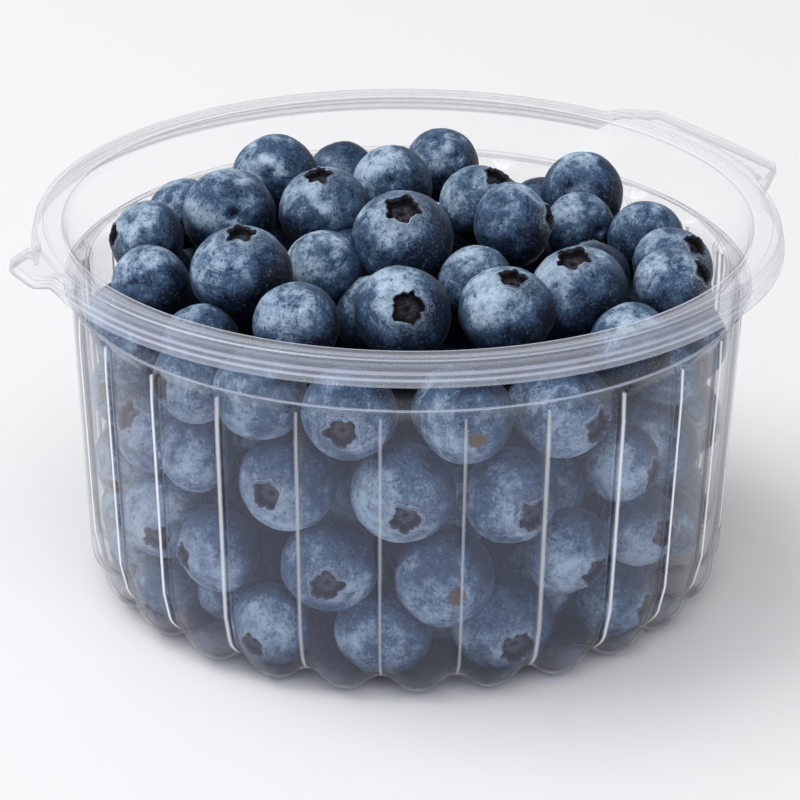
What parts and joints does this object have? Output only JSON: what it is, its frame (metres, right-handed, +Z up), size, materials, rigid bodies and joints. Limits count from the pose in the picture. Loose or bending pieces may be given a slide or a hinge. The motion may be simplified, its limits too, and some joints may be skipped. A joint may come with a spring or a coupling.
{
  "type": "blueberry punnet",
  "caption": "Open round clear plastic tub with ribbed walls, a turned-down rim, a pull tab and a lid flange, heaped with loose fresh blueberries.",
  "frame": {"origin": "on the tub's axis, at the underside of its floor", "axes": "+Z up along the tub's axis; -Y is the front, with the pull tab at the left (-X) and the lid flange at the back right (+X +Y)"},
  "size_m": [0.129, 0.1258, 0.0675],
  "materials": {
    "clear_plastic": "clear gloss with a faint milky haze",
    "berry_skin": "blue-black skin under a pale waxy bloom"
  },
  "bodies": {
    "root": {"tub": "clear_plastic", "berries": "berry_skin"}
  },
  "joints": []
}
